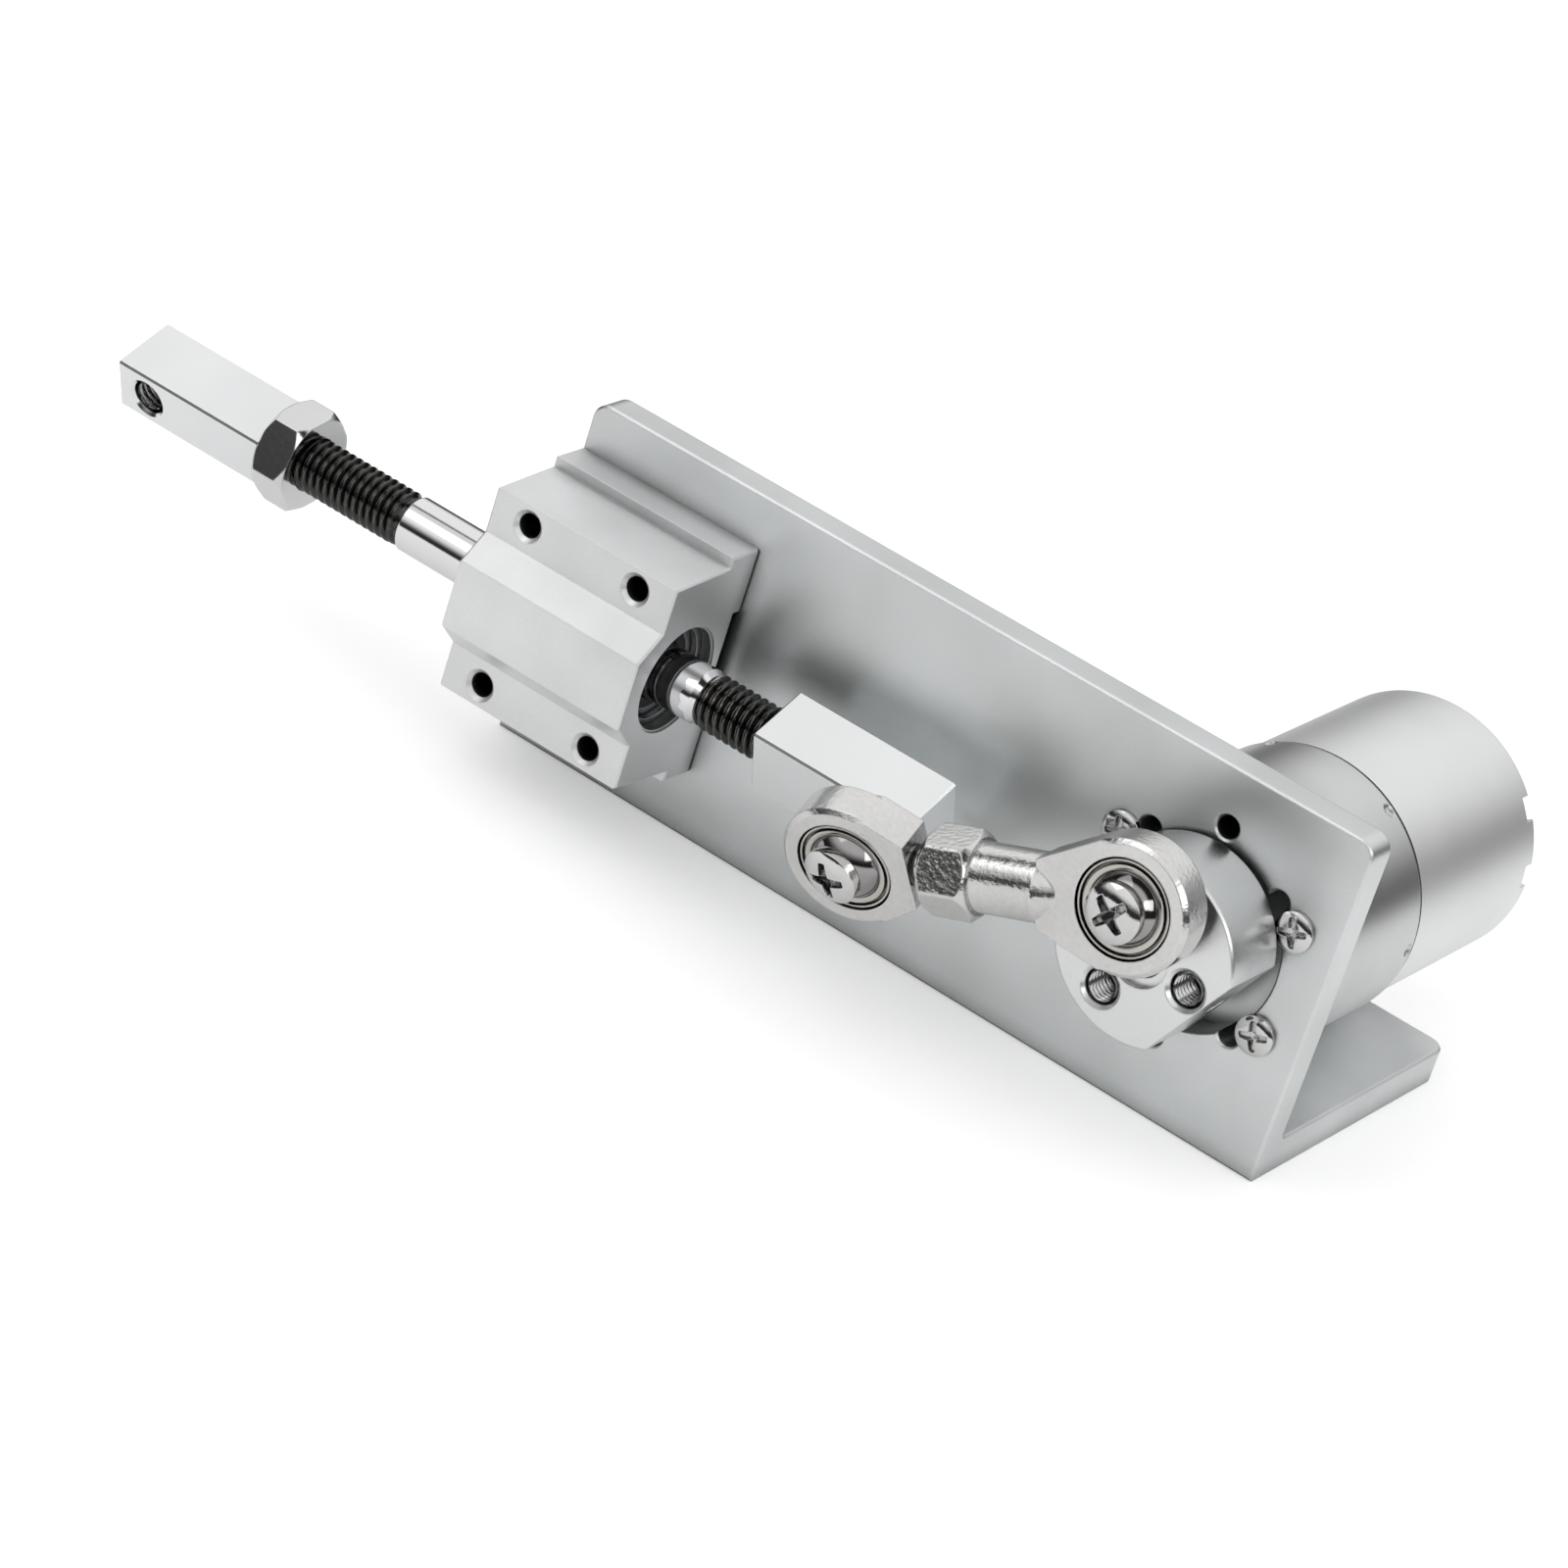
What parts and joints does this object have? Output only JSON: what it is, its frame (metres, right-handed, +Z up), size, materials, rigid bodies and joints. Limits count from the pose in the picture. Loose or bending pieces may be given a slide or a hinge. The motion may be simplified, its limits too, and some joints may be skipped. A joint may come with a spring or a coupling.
{
  "type": "linear actuator",
  "caption": "Crank-driven linear actuator: a gearmotor behind an angle bracket turns a crank, and a ball-ended rod drives a round shaft through a linear bearing block.",
  "frame": {"origin": "centre of the bracket foot's underside", "axes": "+X towards the motor's end of the bracket, -X towards the driven tip of the shaft, -Y towards the crank and rod in front of the plate, +Z up"},
  "size_m": [0.1885, 0.0915, 0.05],
  "materials": {
    "bracket_aluminium": "satin blasted",
    "block_aluminium": "satin anodised",
    "bearing_steel": "polished",
    "cage_plastic": "moulded",
    "seal_rubber": "matte",
    "screw_steel": "zinc plated",
    "shaft_chrome": "polished",
    "nut_steel": "zinc plated",
    "end_block_aluminium": "satin",
    "rod_zinc": "zinc plated",
    "race_bronze": "sintered",
    "ball_chrome": "polished",
    "pivot_screw_chrome": "plated",
    "crank_aluminium": "turned satin",
    "shaft_steel": "ground",
    "gear_steel": "machined",
    "gearbox_zinc": "satin cast and turned",
    "can_steel": "satin plated",
    "magnet_ferrite": "matte",
    "core_steel": "laminated",
    "winding_copper": "enamelled",
    "brush_carbon": "matte",
    "cap_plastic": "moulded",
    "terminal_brass": "tinned"
  },
  "bodies": {
    "base": {"bracket": "bracket_aluminium", "slide_block": "block_aluminium", "bearing_shell": "bearing_steel", "bearing_cage": "cage_plastic", "bearing_balls": "bearing_steel", "bearing_seals": "seal_rubber", "bearing_circlips": "bearing_steel", "slide_block_screws": "screw_steel", "gearbox_housing": "gearbox_zinc", "gearbox_screws": "screw_steel", "output_bush": "race_bronze", "gear_pins": "shaft_steel", "gear_sleeves": "shaft_steel", "gearbox_back_plate": "gearbox_zinc", "motor_screws": "screw_steel", "motor_can": "can_steel", "front_bearing": "race_bronze", "rear_bearing": "race_bronze", "motor_magnets": "magnet_ferrite", "brushes": "brush_carbon", "brush_holders": "cap_plastic", "motor_end_cap": "cap_plastic", "motor_terminals": "terminal_brass"},
    "slider": {"sliding_shaft": "shaft_chrome", "jam_nut": "nut_steel", "far_end_block": "end_block_aluminium", "slider_end_block": "end_block_aluminium", "far_pivot_washer": "pivot_screw_chrome", "far_rod_ball": "ball_chrome", "far_pivot_screw": "pivot_screw_chrome"},
    "connecting_rod": {"far_rod_race": "race_bronze", "male_rod_end": "rod_zinc", "female_rod_end": "rod_zinc", "near_rod_race": "race_bronze", "near_rod_ball": "ball_chrome", "crank_pin_washer": "pivot_screw_chrome", "crank_pin_screw": "pivot_screw_chrome"},
    "crank_and_output": {"crank": "crank_aluminium", "crank_set_screw": "screw_steel", "output_shaft": "shaft_steel", "output_gear": "gear_steel"},
    "first_gear": {"first_compound_gear": "gear_steel"},
    "second_gear": {"second_compound_gear": "gear_steel"},
    "rotor": {"motor_shaft": "shaft_steel", "motor_pinion": "gear_steel", "armature_core": "core_steel", "armature_windings": "winding_copper", "commutator": "winding_copper"}
  },
  "joints": [
    {"name": "slider_stroke", "type": "slide", "parent": "base", "child": "slider", "axis": [-1, 0, 0], "range_m": [-0.0078, 0.0102]},
    {"name": "rod_swing", "type": "hinge", "parent": "slider", "child": "connecting_rod", "pos_m": [0.00425, -0.0445, 0.02212], "axis": [0, -1, 0], "range_deg": [-26.1, 0.05]},
    {"name": "crank_turn", "type": "hinge", "parent": "base", "child": "crank_and_output", "pos_m": [0.04275, -0.03, 0.0265], "axis": [0, -1, 0], "continuous": true},
    {"name": "first_gear_turn", "type": "hinge", "parent": "base", "child": "first_gear", "pos_m": [0.03538, -0.005, 0.02134], "axis": [0, -1, 0], "continuous": true},
    {"name": "second_gear_turn", "type": "hinge", "parent": "base", "child": "second_gear", "pos_m": [0.03401, -0.005, 0.03023], "axis": [0, -1, 0], "continuous": true},
    {"name": "rotor_turn", "type": "hinge", "parent": "base", "child": "rotor", "pos_m": [0.04275, -0.005, 0.0265], "axis": [0, -1, 0], "continuous": true}
  ],
  "couplings": [
    {"joint": "second_gear_turn", "follows": "rotor_turn", "ratio": 0.14793},
    {"joint": "first_gear_turn", "follows": "rotor_turn", "ratio": -0.38462},
    {"joint": "crank_turn", "follows": "rotor_turn", "ratio": -0.052832}
  ]
}
